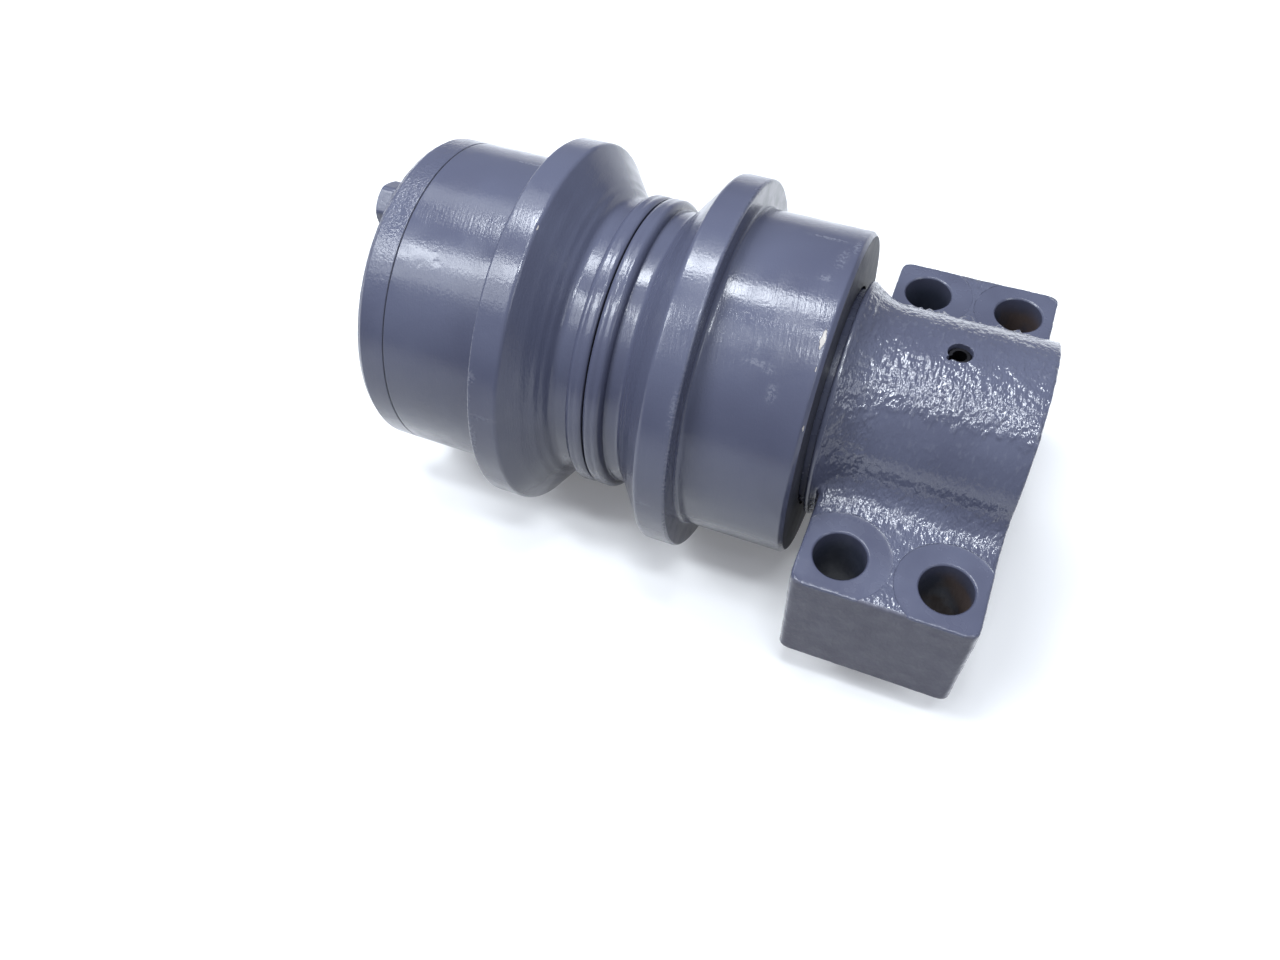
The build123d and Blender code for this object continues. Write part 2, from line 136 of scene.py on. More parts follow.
# Bracket
barrel_r = 55.75 * mm
foot_top_z = axis_z + 0.5 * mm
foot_fillet = 18.0 * mm
foot_corner_round = 5.0 * mm
relief_depth = 3.0 * mm
relief_half_width = 56.0 * mm
bolt_x = 25.5 * mm
bolt_y = 94.0 * mm
foot_holes = [(x, y) for x in (-bolt_x, bolt_x) for y in (-bolt_y, bolt_y)]
corner_signs = ((-1, -1), (1, -1), (1, 1), (-1, 1))
foot_hole_r = 13.0 * mm
foot_hole_chamfer = 0.8 * mm
spot_face_r = 24.75 * mm
collar_x = shell_in_x + 3.5 * mm
collar_land = 3.0 * mm
collar_slope = 9.0 * mm
collar_flare = 26.0 * mm
lip_r = 58.47 * mm
bracket_seat_x = lip_x + 14.3 * mm
shaft_seat_r = 40.0 * mm
pin_hole_r = 6.0 * mm
stake_angle = 228.0  # degrees about Z from +X, to the stake mark at the pin hole
flash_angle = -46.5  # degrees of turn, along the parting line
bore_chamfer = 1.5 * mm
cut_margin = 5.0 * mm  # how far a cutter reaches past what it cuts
cut_reach = 0.05 * mm  # how far from a cutter's radius a face still counts as cut
cast_below = 2.0 * mm  # metal under the feet that machining takes off

# Camera, solved from the photograph's edges and circles
camera_right = (0.9252, 0.3773, -0.0401)
camera_up = (-0.2874, 0.7658, 0.5752)
camera_place = (-0.00773, -0.34770, 0.47844)
camera_lens = 27.71  # millimetres, on a sensor 36 wide

# Light: what each lamp is aimed at, its colour, the sky's, and the floor's own
roller_aim = (-0.25, 0.0, 0.12)
waist_aim = (-0.14, 0.0, 0.12)
bracket_aim = (0.0, 0.0, 0.12)
whole_aim = (-0.05, 0.0, 0.08)
window_light = (0.90, 0.95, 1.0)
sky_low = (0.20, 0.21, 0.24)
sky_high = (0.46, 0.49, 0.56)
floor_gap = 0.05 * mm  # below the lowest point of the object
floor_glow = 0.14
floor_white_from = 0.9  # metres from the middle, where white starts
floor_white_at = 2.0  # where all is white

# How finely the meshes are made
turn_steps = 400
outside_step = 1.3 * mm
weld_distance = 0.0001 * mm
casting_voxel = 1.2 * mm
fillet_steps = 12
barrel_steps = 48


def smoothstep(low, high, value):
    """0 up to low, 1 from high on and smooth between; low may be the larger."""
    t = np.clip((value - low) / (high - low), 0.0, 1.0)
    return t * t * (3.0 - 2.0 * t)


def bell(distance, width):
    """1 at no distance, falling away over about a width."""
    return np.exp(-((distance / width) ** 2))


def noise_at(points, size, seed):
    """Smooth noise from about -1 to 1 at each point, with features of a given size."""
    shift = Vector((seed * 7.31, seed * 3.77, seed * 5.19))
    return np.array([noise.noise(Vector(p) / size + shift) for p in points])


def rounded(corners, steps=8):
    """The points of a closed outline; a third number in a corner rounds it with an arc."""
    points = []
    for i, corner in enumerate(corners):
        here = Vector(corner[:2])
        if len(corner) == 2:
            points.append(here)
            continue
        before = (Vector(corners[i - 1][:2]) - here).normalized()
        after = (Vector(corners[(i + 1) % len(corners)][:2]) - here).normalized()
        half = before.angle(after) / 2
        middle = here + (before + after).normalized() * corner[2] / math.sin(half)
        start = here + before * corner[2] / math.tan(half) - middle
        end = here + after * corner[2] / math.tan(half) - middle
        first = math.atan2(start.y, start.x)
        turn = (math.atan2(end.y, end.x) - first + math.pi) % (2 * math.pi) - math.pi
        for k in range(steps + 1):
            angle = first + turn * k / steps
            points.append(middle + Vector((math.cos(angle), math.sin(angle))) * corner[2])
    return points


def refined(points, step):
    """A closed run of points with none further apart than step."""
    dense = []
    for i, here in enumerate(points):
        after = points[(i + 1) % len(points)]
        pieces = max(1, math.ceil((after - here).length / step))
        for k in range(pieces):
            dense.append(here.lerp(after, k / pieces))
    return dense


def mesh_object(name, points, faces):
    """A new object from points and faces, with its normals outwards."""
    mesh = bpy.data.meshes.new(name)
    mesh.from_pydata([tuple(p) for p in points], [], faces)
    work = bmesh.new()
    work.from_mesh(mesh)
    bmesh.ops.recalc_face_normals(work, faces=work.faces)
    work.to_mesh(mesh)
    work.free()
    mesh.update()
    piece = bpy.data.objects.new(name, mesh)
    bpy.context.scene.collection.objects.link(piece)
    return piece


def ring_faces(rings, around, closed):
    """Quads between rings of points, each ring having the same count of points."""
    faces = []
    last = rings if closed else rings - 1
    for i in range(last):
        a = i * around
        b = ((i + 1) % rings) * around
        for j in range(around):
            k = (j + 1) % around
            faces.append((a + j, b + j, b + k, a + k))
    return faces


def spun(name, profile, steps=turn_steps, relief=None):
    """A closed profile of (x, radius) turned about the roller's axis.

    relief(x, radius, turn) gives how far each point stands out from the true shape.
    """
    x = np.array([p[0] for p in profile])
    r = np.array([p[1] for p in profile])
    turn = np.linspace(0.0, 2 * math.pi, steps, endpoint=False)
    x_all = np.repeat(x, steps)
    r_all = np.repeat(r, steps)
    turn_all = np.tile(turn, len(x))
    if relief is not None:
        r_all = r_all + relief(x_all, r_all, turn_all)
    y_all = -r_all * np.sin(turn_all)
    z_all = axis_z + r_all * np.cos(turn_all)
    points = np.stack([x_all, y_all, z_all], axis=1)
    piece = mesh_object(name, points, ring_faces(len(x), steps, True))
    if r.min() == 0.0:
        weld(piece, weld_distance)
    return piece


def upright_turned(name, profile, x, y, steps=128):
    """A closed profile of (radius, z) turned about an upright line; a radius of 0 makes a pole."""
    turn = np.linspace(0.0, 2 * math.pi, steps, endpoint=False)
    dense = refined([Vector(p) for p in profile], 2.0 * mm)
    on_axis = [i for i, p in enumerate(dense) if p.x == 0.0]
    dense = [p for i, p in enumerate(dense) if p.x > 0.0 or i in (on_axis[0], on_axis[1])]
    points = []
    for r, z in dense:
        for t in turn:
            points.append((x + r * math.cos(t), y + r * math.sin(t), z))
    piece = mesh_object(name, points, ring_faces(len(dense), steps, True))
    weld(piece, weld_distance)
    return piece


def weld(piece, distance):
    """Joins points that coincide, and drops what has no area left."""
    work = bmesh.new()
    work.from_mesh(piece.data)
    bmesh.ops.remove_doubles(work, verts=work.verts, dist=distance)
    bmesh.ops.dissolve_degenerate(work, dist=distance, edges=work.edges)
    bmesh.ops.recalc_face_normals(work, faces=work.faces)
    work.to_mesh(piece.data)
    work.free()


def prism(name, outline, low, high, axis):
    """A flat outline drawn out between two places along X or Z."""
    points = []
    for place in (low, high):
        for u, v in outline:
            points.append((place, u, v) if axis == "X" else (u, v, place))
    count = len(outline)
    faces = ring_faces(2, count, False)
    faces.append(tuple(range(count)))
    faces.append(tuple(range(count, 2 * count)))
    return mesh_object(name, points, faces)


def apply_modifiers(piece):
    """Turns a piece's modifiers into plain mesh."""
    bpy.context.view_layer.update()
    evaluated = piece.evaluated_get(bpy.context.evaluated_depsgraph_get())
    result = bpy.data.meshes.new_from_object(evaluated)
    piece.modifiers.clear()
    old = piece.data
    piece.data = result
    bpy.data.meshes.remove(old)


def combined(piece, others, operation):
    """Joins, cuts or crosses a piece with others, which are used up."""
    for other in others:
        step = piece.modifiers.new("cut", "BOOLEAN")
        step.operation = operation
        step.solver = "MANIFOLD"
        step.object = other
        apply_modifiers(piece)
        bpy.data.objects.remove(other)
    return piece


def shade(piece, angle=35.0):
    """Smooth shading that breaks at sharp edges."""
    piece.data.polygons.foreach_set("use_smooth", [True] * len(piece.data.polygons))
    piece.data.set_sharp_from_angle(angle=math.radians(angle))


def set_mask(piece, name, values):
    """A number for each point of a piece, which its material reads by name."""
    mask = piece.data.attributes.new(name, "FLOAT", "POINT")
    mask.data.foreach_set("value", np.asarray(values, dtype=np.float32))


def vectors_of(items, key):
    """A row of three numbers for each point, face or normal of a mesh."""
    values = np.empty(len(items) * 3, dtype=np.float32)
    items.foreach_get(key, values)
    return values.reshape(-1, 3).astype(float)


def points_of(piece):
    return vectors_of(piece.data.vertices, "co")


def along_and_round(points):
    """Each point's x, distance from the roller's axis, and turn from straight up, in degrees."""
    y = points[:, 1]
    z = points[:, 2] - axis_z
    return points[:, 0], np.hypot(y, z), np.degrees(np.arctan2(-y, z))


# Node trees

def add(tree, kind, sockets=None, **settings):
    """Adds a shader node; each socket gets a number or colour, or a link from another's output."""
    node = tree.nodes.new("ShaderNode" + kind)
    for key, value in settings.items():
        setattr(node, key, value)
    for key, value in (sockets or {}).items():
        if isinstance(value, bpy.types.NodeSocket):
            tree.links.new(value, node.inputs[key])
        else:
            node.inputs[key].default_value = value
    return node


def calc(tree, operation, first, second=0.0, clamp=False):
    node = add(tree, "Math", {0: first, 1: second}, operation=operation, use_clamp=clamp)
    return node.outputs[0]


def times(tree, first, second):
    return calc(tree, "MULTIPLY", first, second)


def plus(tree, first, second, clamp=False):
    return calc(tree, "ADD", first, second, clamp)


def ramp(tree, value, low, high, to_low=0.0, to_high=1.0):
    """Takes low..high to to_low..to_high, smoothly and within those limits."""
    node = add(tree, "MapRange", {
        "Value": value, "From Min": low, "From Max": high, "To Min": to_low, "To Max": to_high,
    }, interpolation_type="SMOOTHSTEP")
    return node.outputs["Result"]


def mottle(tree, where, size, detail=3.0, rough=0.5):
    """Noise from 0 to 1 with features of a given size in metres."""
    node = add(tree, "TexNoise", {
        "Vector": where, "Scale": 1.0 / size, "Detail": detail, "Roughness": rough,
    })
    return node.outputs["Fac"]


def blend_colour(tree, share, first, second):
    node = add(tree, "Mix", {"Factor": share}, data_type="RGBA")
    for key, value in (("A", first), ("B", second)):
        socket = [s for s in node.inputs if s.name == key and s.type == "RGBA"][0]
        if isinstance(value, bpy.types.NodeSocket):
            tree.links.new(value, socket)
        else:
            socket.default_value = (*value, 1.0)
    return [s for s in node.outputs if s.type == "RGBA"][0]


def raised(tree, height, distance, normal=None):
    """Bump whose height is a share of a distance in metres."""
    sockets = {"Height": height, "Distance": distance, "Strength": 1.0}
    if normal is not None:
        sockets["Normal"] = normal
    return add(tree, "Bump", sockets).outputs["Normal"]


def start_material(name):
    material = bpy.data.materials.new(name)
    material.use_nodes = True
    tree = material.node_tree
    tree.nodes.clear()
    where = add(tree, "TexCoord").outputs["Object"]
    return material, tree, where


def finish_material(tree, sockets):
    surface = add(tree, "BsdfPrincipled", sockets)
    add(tree, "OutputMaterial", {"Surface": surface.outputs["BSDF"]})


def round_the_axis(tree, where, round_size):
    """Coordinates that run along the axis, outwards and round it, with the last one drawn out.

    Noise in them makes rings, as turning or rolling leaves on a piece.
    """
    parts = add(tree, "SeparateXYZ", {0: where})
    z = calc(tree, "SUBTRACT", parts.outputs[2], axis_z)
    y = parts.outputs[1]
    radius = calc(tree, "SQRT", plus(tree, times(tree, y, y), times(tree, z, z)))
    side = calc(tree, "DIVIDE", y, radius)
    up = calc(tree, "DIVIDE", z, radius)
    rings = add(tree, "CombineXYZ", {0: parts.outputs[0], 1: radius}).outputs[0]
    turned = add(tree, "CombineXYZ", {
        0: times(tree, side, round_size), 1: 0.0, 2: times(tree, up, round_size),
    }).outputs[0]
    return add(tree, "VectorMath", {0: rings, 1: turned}, operation="ADD").outputs[0]


def mask_of(tree, name):
    """A piece's own mask; 0 where the piece has none of that name."""
    return add(tree, "Attribute", attribute_name=name).outputs["Fac"]


# Colours of the paint, of what shows where it is worn or gone, and of the painted shade laid in holes,
# corners and seams
paint_deep = (0.066, 0.071, 0.112)
paint_mid = (0.083, 0.090, 0.137)
paint_worn = (0.150, 0.158, 0.200)
primer_pale = (0.40, 0.375, 0.35)
primer_brown = (0.075, 0.055, 0.050)
painted_hole_shade = (0.032, 0.038, 0.060)
dust_grey = (0.088, 0.082, 0.092)
shade_black = (0.012, 0.012, 0.016)
steel_pale = (0.46, 0.46, 0.46)
steel_dark = (0.25, 0.24, 0.22)


def enamel_colour(tree, where, size):
    """The blue-grey paint, drifting between two close tones."""
    drift = mottle(tree, where, size, 2.0)
    return blend_colour(tree, ramp(tree, drift, 0.3, 0.7), paint_deep, paint_mid)


def gloss_drift(tree, where, size, detail, glossy, dull):
    """Roughness that drifts between two values."""
    return ramp(tree, mottle(tree, where, size, detail), 0.3, 0.7, glossy, dull)


def soft_edges(tree, radius):
    """Normals rounded over sharp edges, as thick paint rounds them."""
    return add(tree, "Bevel", {"Radius": radius}, samples=4).outputs["Normal"]


def roller_paint(name, coat):
    """Thick gloss enamel over turned and forged steel, with scuffs and chips."""
    material, tree, where = start_material(name)
    rings = round_the_axis(tree, where, 14 * mm)
    colour = enamel_colour(tree, where, 60 * mm)
    scuff_grain = mottle(tree, where, 1.6 * mm, 5.0, 0.7)
    scuff = times(tree, mask_of(tree, "scuff"), ramp(tree, scuff_grain, 0.40, 0.62))
    colour = blend_colour(tree, scuff, colour, paint_worn)
    chip_edge = mottle(tree, where, 2.0 * mm, 4.0, 0.6)
    chip = ramp(tree, plus(tree, mask_of(tree, "chip"), times(tree, chip_edge, 0.9)), 0.98, 1.06)
    colour = blend_colour(tree, chip, colour, primer_pale)
    # Painted shade: the mask read here darkens the paint towards near black in corners, grooves, seams,
    # the inboard end face and under bolt heads, and roughens it there
    painted_shade = ramp(tree, plus(tree, mask_of(tree, "painted_shade"), times(tree, scuff_grain, 0.5)), 0.7, 1.2)
    colour = blend_colour(tree, times(tree, painted_shade, 0.75), colour, shade_black)
    gloss = gloss_drift(tree, where, 14 * mm, 4.0, 0.15, 0.27)
    wear_and_painted_shade = calc(tree, "MAXIMUM", calc(tree, "MAXIMUM", chip, scuff), times(tree, painted_shade, 1.6))
    gloss = plus(tree, gloss, times(tree, wear_and_painted_shade, 0.3), True)
    peel = mottle(tree, where, 1.5 * mm, 2.0, 0.5)
    rough_rim = times(tree, mask_of(tree, "rough_rim"), 6.0)
    peel = times(tree, peel, plus(tree, 1.0, rough_rim))
    sag = mottle(tree, where, 6.0 * mm, 1.0)
    turned = mottle(tree, rings, 1.1 * mm, 3.0, 0.6)
    normal = raised(tree, sag, 0.03 * mm, soft_edges(tree, 0.5 * mm))
    normal = raised(tree, turned, 0.085 * mm, normal)
    normal = raised(tree, peel, 0.065 * mm, normal)
    normal = raised(tree, calc(tree, "SUBTRACT", 1.0, chip), 0.2 * mm, normal)
    finish_material(tree, {
        "Base Color": colour, "Roughness": gloss, "Normal": normal, "Specular IOR Level": 0.38,
        "Coat Weight": coat, "Coat Roughness": 0.07, "Coat Normal": normal,
    })
    return material


def casting_paint():
    """The same enamel over sand casting, whose grain shows through."""
    material, tree, where = start_material("casting_enamel")
    rough_zone = mask_of(tree, "grain")
    matt = mask_of(tree, "matt")
    drawn = add(tree, "VectorMath", {0: where, 1: (1.0, 0.55, 0.55)}, operation="MULTIPLY")
    drawn = drawn.outputs[0]
    colour = enamel_colour(tree, where, 45 * mm)
    fine = mottle(tree, drawn, 1.0 * mm, 1.0, 0.5)
    coarse = mottle(tree, drawn, 2.1 * mm, 1.0, 0.5)
    dust = times(tree, ramp(tree, coarse, 0.55, 0.75), 0.2)
    colour = blend_colour(tree, dust, colour, paint_worn)
    colour = blend_colour(tree, times(tree, matt, 0.5), colour, dust_grey)
    gloss = gloss_drift(tree, where, 9 * mm, 3.0, 0.14, 0.24)
    gloss = plus(tree, gloss, times(tree, matt, 0.4), True)
    depth = plus(tree, times(tree, rough_zone, 0.85), 0.15)
    grains = plus(tree, times(tree, fine, 0.3), coarse)
    normal = raised(tree, times(tree, grains, depth), 0.85 * mm, soft_edges(tree, 0.6 * mm))
    finish_material(tree, {
        "Base Color": colour, "Roughness": gloss, "Normal": normal, "Specular IOR Level": 0.5,
        "Coat Weight": calc(tree, "SUBTRACT", 0.4, times(tree, matt, 0.4)),
        "Coat Roughness": 0.05, "Coat Normal": normal,
    })
    return material


def machined_paint():
    """Enamel over a cut face: smooth, with a little ripple of its own."""
    material, tree, where = start_material("machined_enamel")
    colour = enamel_colour(tree, where, 30 * mm)
    gloss = gloss_drift(tree, where, 9 * mm, 3.0, 0.20, 0.30)
    normal = raised(tree, mottle(tree, where, 5 * mm, 1.0), 0.06 * mm, soft_edges(tree, 0.6 * mm))
    normal = raised(tree, mottle(tree, where, 1.4 * mm, 2.0), 0.04 * mm, normal)
    finish_material(tree, {
        "Base Color": colour, "Roughness": gloss, "Normal": normal, "Specular IOR Level": 0.5,
        "Coat Weight": 0.2, "Coat Roughness": 0.08, "Coat Normal": normal,
    })
    return material


def hole_paint():
    """Inside the drilled holes: painted shade in dark navy, giving way to the paint near the mouth, with
    brown primer in patches on the inboard side.
    """
    material, tree, where = start_material("hole_painted_shade")
    parts = add(tree, "SeparateXYZ", {0: where})
    patch = mottle(tree, where, 16 * mm, 3.0, 0.5)
    inboard_side = ramp(tree, plus(tree, patch, times(tree, parts.outputs[0], 9.0)), 0.55, 0.85)
    # Painted shade: the hole is a dark navy deep inside and takes the paint's colour near its mouth
    colour = blend_colour(tree, inboard_side, painted_hole_shade, primer_brown)
    near_mouth = ramp(tree, parts.outputs[2], axis_z - 14 * mm, axis_z - 1 * mm)
    colour = blend_colour(tree, near_mouth, colour, paint_deep)
    normal = raised(tree, mottle(tree, where, 2.0 * mm, 4.0), 0.12 * mm)
    finish_material(tree, {
        "Base Color": colour, "Roughness": ramp(tree, patch, 0.3, 0.7, 0.4, 0.65), "Normal": normal,
        "Specular IOR Level": 0.3,
    })
    return material


def worked_metal(name, colour, dark, roughness):
    """Turned or ground metal, with fine rings round the axis and a film of oil in places."""
    material, tree, where = start_material(name)
    rings = round_the_axis(tree, where, 6 * mm)
    lines = mottle(tree, rings, 0.5 * mm, 3.0, 0.7)
    film = mottle(tree, where, 12 * mm, 3.0)
    tone = blend_colour(tree, ramp(tree, film, 0.35, 0.75), colour, dark)
    tone = blend_colour(tree, times(tree, lines, 0.3), tone, dark)
    wear = plus(tree, times(tree, lines, 0.5), times(tree, film, 0.5))
    gloss = ramp(tree, wear, 0.3, 0.7, roughness * 0.75, roughness * 1.3)
    normal = raised(tree, lines, 0.02 * mm)
    finish_material(tree, {
        "Base Color": tone, "Roughness": gloss, "Normal": normal, "Metallic": 1.0,
    })
    return material


def shaft_finish():
    """Ground steel, painted with the rest on the end that is left in the open."""
    material, tree, where = start_material("shaft_steel_and_enamel")
    parts = add(tree, "SeparateXYZ", {0: where})
    rings = round_the_axis(tree, where, 4 * mm)
    lines = mottle(tree, rings, 0.8 * mm, 3.0, 0.6)
    painted = ramp(tree, parts.outputs[0], foot_end_x - 6 * mm, foot_end_x - 4 * mm)
    enamel = enamel_colour(tree, where, 30 * mm)
    steel = blend_colour(tree, times(tree, lines, 0.5), steel_pale, steel_dark)
    gloss = gloss_drift(tree, where, 9 * mm, 3.0, 0.20, 0.30)
    normal = raised(tree, lines, 0.12 * mm, soft_edges(tree, 0.5 * mm))
    finish_material(tree, {
        "Base Color": blend_colour(tree, painted, steel, enamel), "Roughness": gloss, "Normal": normal,
        "Metallic": calc(tree, "SUBTRACT", 1.0, painted),
    })
    return material


def rubber():
    material, tree, where = start_material("seal_rubber_black")
    bloom = mottle(tree, where, 4 * mm, 4.0)
    colour = blend_colour(tree, ramp(tree, bloom, 0.4, 0.7), (0.012, 0.012, 0.012), (0.03, 0.03, 0.032))
    normal = raised(tree, mottle(tree, where, 0.5 * mm, 2.0), 0.02 * mm)
    finish_material(tree, {
        "Base Color": colour, "Roughness": ramp(tree, bloom, 0.3, 0.7, 0.5, 0.7), "Normal": normal,
    })
    return material


materials = {
    "roller": roller_paint("roller_enamel", 0.12),
    "bolt": roller_paint("bolt_enamel", 0.0),
    "casting": casting_paint(),
    "machined": machined_paint(),
    "hole": hole_paint(),
    "ground": worked_metal("ground_steel_oiled", steel_pale, steel_dark, 0.22),
    "shaft": shaft_finish(),
    # Painted shade: this steel is dark partly so that the lock pin reads dark down in its hole
    "spring": worked_metal("spring_steel_darkened_for_shade", (0.040, 0.040, 0.046), (0.012, 0.012, 0.014), 0.5),
    "iron": worked_metal("seal_iron_lapped", (0.34, 0.33, 0.32), (0.16, 0.15, 0.15), 0.28),
    "bronze": worked_metal("bush_bronze", (0.60, 0.38, 0.16), (0.34, 0.20, 0.09), 0.30),
    "copper": worked_metal("gasket_copper", (0.62, 0.28, 0.16), (0.30, 0.13, 0.08), 0.38),
    "rubber": rubber(),
}


def dress(piece, body, slot, material_names, *nodes):
    """Gives a piece its materials and its body, and hides the solids that it stands for; slot is not
    used.
    """
    piece.data.materials.clear()
    for name in material_names:
        piece.data.materials.append(materials[name])
    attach(piece, body)
    if nodes:
        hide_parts(*nodes)
    return piece


def dress_node(node, material_name):
    """A solid that stays as it is gets a better material."""
    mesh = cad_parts[node].data
    mesh.materials.clear()
    mesh.materials.append(materials[material_name])


# Roller: two forged halves and the end cover

def shell_outside(side, end_edge):
    """The outside of one half from the weld to its end: +1 inboard, -1 outboard."""
    rim_in = rim_out - rim_width
    half = shell_in_x - shell_mid_x
    corners = [
        (weld_groove_width / 2, curl_r - weld_groove_depth),
        (weld_groove_width / 2, curl_r, 1.6 * mm),
        (curl_width, curl_r, 3.6 * mm),
        (curl_width, neck_r, 0.8 * mm),
        (neck_half_length, neck_r, neck_fillet),
        (rim_in, flange_r, 3.0 * mm),
        (rim_out, flange_r, 1.6 * mm),
        (rim_out, tread_r, 2.5 * mm),
        (half - end_edge, tread_r, end_edge * 0.7),
        (half, tread_r - end_edge, end_edge * 0.7),
    ]
    return [(shell_mid_x + side * corner[0],) + corner[1:] for corner in corners]


def shell_profile(outside, inside):
    """Outside corners densely, inside corners coarsely, as one closed run of points."""
    all_points = rounded(outside + inside)
    dense = refined(all_points, outside_step)
    inner_limit = neck_r - 10 * mm
    kept = []
    for point in dense:
        on_corner = any((point - corner).length < 0.001 * mm for corner in all_points)
        if point.y > inner_limit or on_corner:
            kept.append(point)
    return kept


# Rings left by the weld: distance from it, half width and height, in mm
curl_rings = ((4.9, 0.8, -0.42), (1.2, 0.9, -0.25))
slope_rings = ((21.6, 0.9, 0.42), (24.8, 0.8, 0.32), (30.0, 1.2, 0.16))


def rings_at(rings, from_weld):
    """The height that a set of rings adds at each distance from the weld."""
    return sum(height * mm * bell(from_weld - place * mm, width * mm) for place, width, height in rings)


def forged_relief(x, r, turn):
    """How a hot forged and welded roller departs from its true shape."""
    points = np.stack([x, -r * np.sin(turn), r * np.cos(turn)], axis=1)
    outside = smoothstep(neck_r - 6 * mm, neck_r - 4 * mm, r)
    from_weld = np.abs(x - shell_mid_x)
    on_curl = 1.0 - smoothstep(curl_width, curl_width + 1 * mm, from_weld)
    on_slope = smoothstep(18 * mm, 22 * mm, from_weld) * (1.0 - smoothstep(36 * mm, 39 * mm, from_weld))
    wave = noise_at(points, 24 * mm, 1) * 0.10 * mm
    ripple = noise_at(points, 7 * mm, 2) * 0.015 * mm
    along = np.stack([x / (2.2 * mm), np.cos(turn) * 2.4, np.sin(turn) * 2.4], axis=1)
    flow = noise_at(along, 1.0, 3)
    curl_flow = flow * 0.22 * mm * on_curl
    slope_flow = flow * 0.10 * mm * on_slope
    drift = 1.0 + 0.5 * noise_at(np.stack([x, np.cos(turn) * 1.5, np.sin(turn) * 1.5], axis=1), 1.0, 6)
    lines = rings_at(curl_rings, from_weld) * on_curl + rings_at(slope_rings, from_weld) * drift
    return outside * (wave * (0.4 + on_slope) + ripple + curl_flow + slope_flow + lines)


def degrees_from(angle, turn):
    """Degrees from an angle to a turn, between -180 and 180."""
    return (turn - angle + 180.0) % 360.0 - 180.0


def dents(x, r, turn):
    """Small pits and knocks: place along the axis, turn in degrees, width and depth in mm."""
    marks = (
        (-272.0, 30.7, 0.9, 0.35), (-255.0, 32.1, 1.1, 0.42), (-264.0, 34.2, 0.8, 0.25),
        (-258.5, 27.5, 0.8, 0.18), (-80.0, 6.7, 0.9, 0.30), (-203.5, 16.8, 1.3, 0.45),
        (-231.0, 12.0, 0.9, 0.25), (-98.0, 24.0, 0.9, 0.18), (-214.0, 48.0, 1.1, 0.25),
    )
    sink = np.zeros_like(x)
    for place, angle, width, depth in marks:
        across = degrees_from(angle, np.degrees(turn))
        away = np.hypot(x - place * mm, np.radians(across) * r)
        sink += bell(away, width * mm) * depth * mm * (r > neck_r)
    return sink


def shell_relief(x, r, turn):
    return forged_relief(x, r, turn) - dents(x, r, turn)


def patches(marks, x, r, turn):
    """Soft patches: place along the axis, turn in degrees, then half width and half length in mm."""
    amount = np.zeros_like(x)
    for place, angle, width, length in marks:
        along = (x - place * mm) / (width * mm)
        around = np.radians(turn - angle) * r / (length * mm)
        amount = np.maximum(amount, bell(np.hypot(along, around), 1.0))
    return amount


def mark_shell(piece):
    """Where paint is chipped or scuffed, and where shade is painted in as darkening: the flange corner,
    the weld groove, the seam and the inboard end face.
    """
    x, r, turn = along_and_round(points_of(piece))
    outside = r > neck_r - 3 * mm
    from_weld = np.abs(x - shell_mid_x)
    chips = (
        (-59.7, 25.0, 1.5, 7.0), (-58.9, 34.0, 0.7, 3.0), (-203.9, 17.0, 0.35, 2.0),
        (-56.9, 52.0, 0.6, 2.0), (-221.0, 66.0, 0.5, 2.2), (-220.8, 84.0, 0.5, 3.0),
    )
    scuffs = (
        (-85.5, 36.5, 6.5, 1.2), (-87.0, 31.0, 0.9, 4.0), (-79.0, 38.0, 3.0, 1.0),
        (-75.0, 44.0, 2.0, 4.0), (-64.0, -6.0, 2.0, 7.0), (-68.0, 4.0, 3.0, 2.0),
        (-60.0, -14.0, 1.5, 6.0), (-74.0, -16.0, 9.0, 1.2), (-219.0, 62.0, 2.5, 3.0),
        (-218.0, 82.0, 1.5, 8.0), (-212.0, 74.0, 6.0, 1.0), (-262.0, 33.0, 4.0, 2.0),
        (-115.0, 55.0, 1.2, 9.0), (-126.0, 88.0, 5.0, 1.0), (-240.0, -20.0, 8.0, 1.0),
        (-100.0, 150.0, 6.0, 5.0), (-250.0, 200.0 - 360.0, 7.0, 5.0), (-215.0, 130.0, 2.0, 9.0),
        (-118.0, -100.0, 3.0, 9.0),
    )
    chip = patches(chips, x, r, turn) * (r > tread_r - 1.3 * mm)
    scuff = patches(scuffs, x, r, turn) * 0.95 * outside
    at_edge = bell(np.hypot(from_weld - rim_out, r - flange_r), 1.3 * mm)
    scuff = np.maximum(scuff, at_edge * 0.4)
    # Painted shade in the flange-to-tread corner, the weld groove, the seam at the cover and the end face
    # that faces the bracket
    corner = bell(np.hypot(from_weld - rim_out, r - tread_r), 1.5 * mm)
    groove = (from_weld < 1.0 * mm) * (r < curl_r - 1.2 * mm)
    seam = bell(x - shell_out_x, 0.6 * mm) * outside
    end_face = smoothstep(shell_in_x - 0.6 * mm, shell_in_x - 0.1 * mm, x) * (r < tread_r) * 0.95
    painted_shade = np.maximum.reduce([corner, groove * outside, seam, end_face])
    set_mask(piece, "chip", chip)
    set_mask(piece, "scuff", scuff)
    set_mask(piece, "painted_shade", painted_shade)


def inboard_half():
    inside = [
        (shell_in_x, recess_r), (seal_mouth_x, recess_r), (seal_mouth_x, seal_mouth_r),
        (seal_seat_x, seal_seat_r), (seal_seat_x, inner_pocket_r), (inner_pocket_x, inner_pocket_r),
        (inner_pocket_x, inner_bore_r), (inner_bush_x, inner_bore_r), (inner_bush_x, chamber_r),
        (shell_mid_x, chamber_r), (shell_mid_x, curl_r - weld_groove_depth),
    ]
    profile = shell_profile(shell_outside(1, tread_edge), inside)
    return spun("inboard_roller_half", profile, relief=shell_relief)


